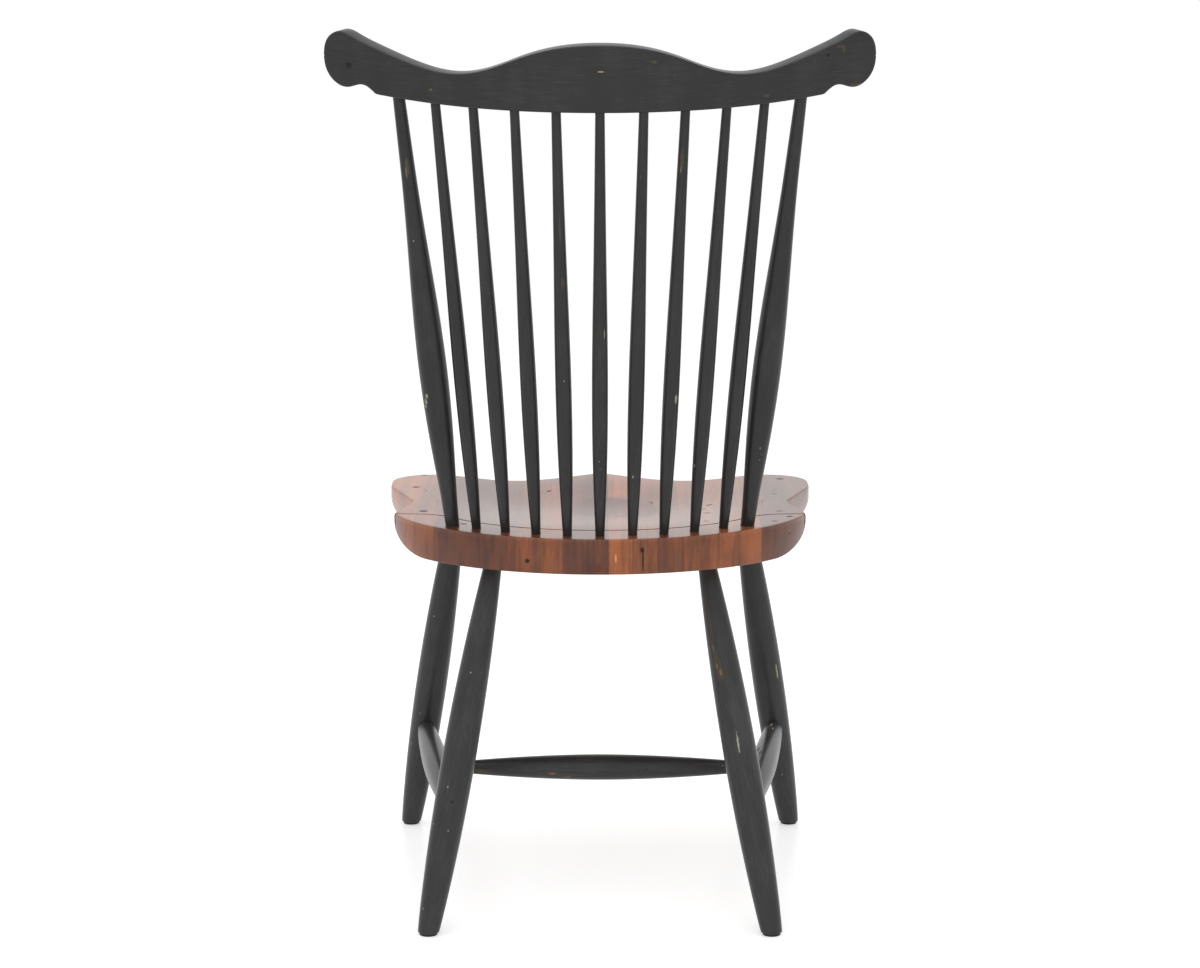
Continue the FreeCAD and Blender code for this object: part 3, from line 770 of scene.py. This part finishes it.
def undersideAt(x, y):
    # planed round under the sides and the front, full thickness elsewhere
    cornerX, cornerY = rearCorner()
    shoulderX, shoulderY = seat["corners"][1][:2]
    length = math.hypot(shoulderX - cornerX, shoulderY - cornerY)
    inFromSide = ((cornerY - shoulderY) * (cornerX - abs(x)) - (shoulderX - cornerX) * (y - cornerY)) / length
    depth = -seat["thickness"]
    for inside, wall in ((inFromSide, seat["sideWall"]), (y + seat["frontDepth"], seat["frontWall"])):
        if inside < seat["roundReach"]:
            short = 1 - max(inside, 0) / seat["roundReach"]
            depth = max(depth, -wall - (seat["thickness"] - wall) * math.sqrt(1 - short ** 2))
    return depth


def seatShell():
    front, frontLip, bottom, backLip, rear = seatRuns(seat["columns"])
    insets = quarterRound(seat["topRounding"])[0]
    drops = quarterRound(1)[1]
    nearFront = edgeRows(front, frontLip, insets + list(seat["frontFlow"]))
    nearRear = edgeRows(rear, backLip, insets)[::-1]
    rows = nearFront + rowsBetween(nearFront[-1], frontLip, seat["saddleRows"]) + [frontLip, bottom, backLip]
    gutterRow = len(rows) - 2
    rows += rowsBetween(backLip, nearRear[0], seat["rearRows"]) + nearRear
    dropOf = drops + [0] * (len(rows) - 2 * len(drops)) + drops[::-1]
    outline = {(round(x, 3), round(y, 3)) for x, y in np.concatenate([front, rear])}

    def placeOf(row, point, upper):
        x, y = point
        onRim = (round(x, 3), round(y, 3)) in outline
        drop = 1 if onRim else dropOf[row]
        if not upper:
            return (x, y, undersideAt(x, y) + drop * seat["lowRounding"])
        groove = seat["gutterDepth"] if row == gutterRow else 0
        return (x, y, -saddleDepth(x, y) - max(drop * seat["topRounding"], groove))

    bm = gridShell(rows, placeOf, gutterRow)
    for vert in bm.verts:
        vert.co = seatPlace(vert.co)
    sharpen(bm, seat["sharpTurn"])
    return bm


def seatMarks(left, right):
    # the marks of the stave between two joints, as places, half sizes and tones
    marks = []
    for x, y, halfWide, halfDeep, tone in topMarks:
        if left <= x <= right:
            size = scaled((halfWide, halfDeep, wood["topMarkDepth"]), mm)
            marks.append((seatPlace(Vector((x, y, 0)) * mm), size, tone))
    for x, below, halfWide, halfHigh, tone in rearMarks:
        if left <= x <= right:
            y = seat["rearDepth"] * math.sqrt(1 - (x / seat["rearHalfWidth"]) ** 2)
            size = scaled((halfWide, wood["rearMarkDepth"], halfHigh), mm)
            marks.append((seatPlace(Vector((x, y, -below)) * mm), size, tone))
    return marks


def rearRimMask(across, back, height):
    # 1 on the upright rim behind, whose lacquer is thinner
    y = back - seat["middle"][1] * mm
    width = (seat["rearHalfWidth"] * mm) ** 2
    depth = (seat["rearDepth"] * mm) ** 2
    reach = across * across * (1 / width) + y * y * (1 / depth)
    low = height.between(*wood["rimHeights"])
    return reach.between(*wood["rimReach"]) * back.between(*wood["rimBack"]) * low


def woodMaterial(number, left, right):
    material, shader, start = newMaterial("stain_%d" % number, {
        "Coat Weight": 1.0, "Coat Roughness": wood["coatRoughness"], "Coat IOR": wood["coatIor"],
        "Specular IOR Level": wood["specular"],
    })
    place = start.node("ShaderNodeTexCoord", out=3)
    away = (number * 3.7, number * 1.9, number * 0.7)
    grains = ("streak", "broad", "figure", "pores")
    streak, broad, figure, pores = [place.noise(1, *wood[grain], away) for grain in grains]
    tone = seat["tones"][number - 1]
    stain = [a + (b - a) * tone for a, b in zip(wood["darkStain"], wood["lightStain"])]
    mixture = streak * 0.32 + broad * 0.30 + figure * 0.28 + pores * 0.10
    deep, pale = tinted(stain, wood["deepShare"]), tinted(stain, wood["paleShare"])
    colour = mixture.between(0.36, 0.64).choose(deep, pale)
    ragged = (place.noise(*wood["ragged"]) - 0.5) * 1.2

    across = place.node("ShaderNodeSeparateXYZ", None, {"Vector": place})
    rearRim = rearRimMask(across, across.at(1), across.at(2))
    lacquer = 1 - rearRim * wood["rimWear"]
    colour = (rearRim * wood["rimShade"]).choose(colour, wood["knot"])
    smokePlace = seatPlace(Vector(wood["smokePlace"]) * mm)
    smoke = patch(place, smokePlace, scaled(wood["smokeSize"], mm), ragged * 0.5)
    colour = (smoke * figure.between(0.35, 0.6) * 0.75).choose(colour, wood["smoke"])
    lacquer = lacquer * (1 - smoke * 0.16)
    for centre, size, toneName in seatMarks(left, right):
        mask = patch(place, centre, size, ragged)
        colour = (mask * 0.9).choose(colour, wood[toneName])
        if toneName in ("knot", "reddish"):  # little lacquer lies over a hole, crack or knot
            lacquer = lacquer * (1 - mask * (0.95 if toneName == "knot" else 0.6))
    aside = across - left * mm
    seam = 1 - aside.maths("ABSOLUTE", aside).between(0, wood["seamWidth"] * mm)
    # painted shade: the bottom of the gutter is darkened towards the knot colour, as if in shadow
    groove = start.node("ShaderNodeAttribute", {"attribute_name": "gutterShade"}, out=2)
    seamed = (seam * 0.5).choose(colour, wood["knot"])
    colour = (groove.between(0.1, 1) * 0.8).choose(seamed, wood["knot"])
    height = pores * 0.5 + streak * 0.35 - seam * 0.5
    bump = {"Strength": wood["bump"], "Distance": wood["bumpDepth"], "Height": height}
    normal = start.node("ShaderNodeBump", None, bump)
    roughness = streak * 0.14 + (wood["roughness"] - 0.07)
    sockets = {"Base Color": colour, "Roughness": roughness, "Normal": normal, "Coat Weight": lacquer}
    feed(material, shader, sockets)
    return material


def cutStave(whole, left, right):
    # the part of the whole seat between two joints
    bm = whole.copy()
    for stop, outwards in ((left, -1), (right, 1)):
        if abs(stop) == seat["outerReach"]:
            continue
        bmesh.ops.bisect_plane(
            bm, geom=bm.verts[:] + bm.edges[:] + bm.faces[:], dist=1e-7,
            plane_co=(stop * mm, 0, 0), plane_no=(outwards, 0, 0), clear_outer=True
        )
        rims = [edge for edge in bm.edges if edge.is_boundary]
        for face in bmesh.ops.holes_fill(bm, edges=rims, sides=0)["faces"]:
            face.smooth = False
            for edge in face.edges:
                edge.smooth = False
    bmesh.ops.recalc_face_normals(bm, faces=bm.faces[:])
    return bm


def makeSeat():
    whole = seatShell()
    stops = (-seat["outerReach"],) + seat["joints"] + (seat["outerReach"],)
    for number, (left, right) in enumerate(zip(stops, stops[1:]), 1):
        bm = cutStave(whole, left, right)
        slotName = "seat_wood_dark" if number in seat["darkOnes"] else "seat_wood"
        node = "seat_stave_%d" % number
        finishPiece(bm, node + "_shaped", node, woodMaterial(number, left, right))
    whole.free()
    print("seat shaped and parted into staves")


# Glides: a flat disc under each foot, with a stem up into the leg.
def glideMaterial():
    fixed = {"Base Color": glide["colour"], "Specular IOR Level": glide["specular"]}
    material, shader, start = newMaterial("glide_plastic", fixed)
    place = start.node("ShaderNodeTexCoord", out=3)
    grain = place.noise(900, 3, 0.6)
    normal = start.node("ShaderNodeBump", None, {"Strength": 0.2, "Distance": 0.0003, "Height": grain})
    feed(material, shader, {"Roughness": grain * 0.2 + glide["roughness"], "Normal": normal})
    return material


def makeGlides():
    material = glideMaterial()
    radius, height = glide["radius"] * mm, glide["height"] * mm
    for node in [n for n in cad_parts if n.startswith("foot_glide")]:
        end, side = node.split("_")[-2:]
        foot, top = axisOf(end + "_leg_" + side)
        up = (top - foot).normalized()
        bm = bmesh.new()
        bmesh.ops.create_cone(
            bm, cap_ends=True, segments=glide["steps"], radius1=radius, radius2=radius, depth=height,
            matrix=Matrix.Translation((foot.x, foot.y, height / 2))
        )
        sole = [edge for edge in bm.edges if all(vert.co.z < 1e-6 for vert in edge.verts)]
        soft = glide["edgeRounding"] * mm
        bmesh.ops.bevel(bm, geom=sole, offset=soft, segments=3, profile=0.5, affect="EDGES", material=-1)
        head = [face for face in bm.faces if all(vert.co.z > height - 1e-6 for vert in face.verts)]
        bmesh.ops.inset_region(bm, faces=head, thickness=(glide["radius"] - glide["stemRadius"]) * mm)
        stem = bmesh.ops.extrude_face_region(bm, geom=head)["geom"]
        bmesh.ops.delete(bm, geom=head, context="FACES_ONLY")
        risen = [item for item in stem if isinstance(item, bmesh.types.BMVert)]
        bmesh.ops.translate(bm, vec=up * glide["stemLength"] * mm, verts=risen)
        bmesh.ops.recalc_face_normals(bm, faces=bm.faces[:])
        sharpen(bm, glide["sharpTurn"])
        finishPiece(bm, node + "_pad", node, material)
    print("glides made")


# Studio: a white floor that keeps a soft shadow, white all round, and the photograph's own camera place.
studio = dict(
    white=(1, 1, 1, 1),
    floorHalf=6.0,
    floorColour=(0.9, 0.9, 0.9, 1),
    floorRoughness=0.32,
    floorSpecular=0.25,
    floorMix=0.08,  # how much of the floor's own glow the camera sees
    floorGlow=5.4,
    worldLight=0.72,
    topLamp=((0.3, 0.6, 3.2), (0, 0, 0), 3.0, 30.0),  # place, turn in degrees, side, power
    frontLamp=((0, 5.2, 1.7), (-86, 0, 0), 3.6, 62.0),
    cameraPlace=(0, 3.440373, 1.061),
    cameraDown=9.44,
    lens=87.81,
    sensor=36,
)


def whiteToTheEye(tree):
    # 1 for what the camera sees, straight, in a reflection or through something
    seen = Shade(tree).node("ShaderNodeLightPath")
    return (seen + seen.at(3) + seen.at(6)).clamp()


def makeFloor():
    bm = bmesh.new()
    bmesh.ops.create_grid(bm, x_segments=1, y_segments=1, size=studio["floorHalf"])
    mesh = bpy.data.meshes.new("studio_floor")
    bm.to_mesh(mesh)
    bm.free()
    floor = bpy.data.objects.new("studio_floor", mesh)
    bpy.context.scene.collection.objects.link(floor)
    material, shader, start = newMaterial("floor_white", {
        "Base Color": studio["floorColour"], "Roughness": studio["floorRoughness"],
        "Specular IOR Level": studio["floorSpecular"],
    })
    white = whiteToTheEye(material.node_tree)
    glow = start.node("ShaderNodeEmission", None, {"Color": studio["white"], "Strength": studio["floorGlow"]})
    diffuse = Shade(material.node_tree, shader.outputs[0])
    mixed = start.node("ShaderNodeMixShader", None, {0: white * studio["floorMix"], 1: diffuse, 2: glow})
    output = material.node_tree.nodes["Material Output"]
    material.node_tree.links.new(mixed.socket, output.inputs["Surface"])
    mesh.materials.append(material)


def makeLight():
    world = bpy.data.worlds.new("studio_world")
    bpy.context.scene.world = world
    world.use_nodes = True
    tree = world.node_tree
    tree.nodes.clear()
    start = Shade(tree)
    white = whiteToTheEye(tree)
    light, plain = [
        start.node("ShaderNodeBackground", None, {"Color": studio["white"], "Strength": strength})
        for strength in (studio["worldLight"], 1.0)
    ]
    mixed = start.node("ShaderNodeMixShader", None, {0: white, 1: light, 2: plain})
    output = tree.nodes.new("ShaderNodeOutputWorld")
    tree.links.new(mixed.socket, output.inputs["Surface"])
    for name in ("topLamp", "frontLamp"):
        place, turn, side, power = studio[name]
        lamp = bpy.data.lights.new(name, "AREA")
        lamp.energy = power
        lamp.size = side
        holder = bpy.data.objects.new(name, lamp)
        holder.location = place
        holder.rotation_euler = [math.radians(angle) for angle in turn]
        holder.visible_glossy = name == "topLamp"  # the front lamp only fills, without a streak of its own
        bpy.context.scene.collection.objects.link(holder)


def makeCamera():
    camera = bpy.data.cameras.new("studio_camera")
    camera.sensor_width = studio["sensor"]
    camera.lens = studio["lens"]
    holder = bpy.data.objects.new("studio_camera", camera)
    holder.location = studio["cameraPlace"]
    holder.rotation_euler = (math.radians(90 - studio["cameraDown"]), 0, math.radians(180))
    bpy.context.scene.collection.objects.link(holder)
    bpy.context.scene.camera = holder


makeUprights()
makeLegs()
makeCrest()
makeSeat()
makeGlides()
makeFloor()
makeLight()
makeCamera()
bpy.context.scene.view_settings.view_transform = "Standard"
print("studio ready")
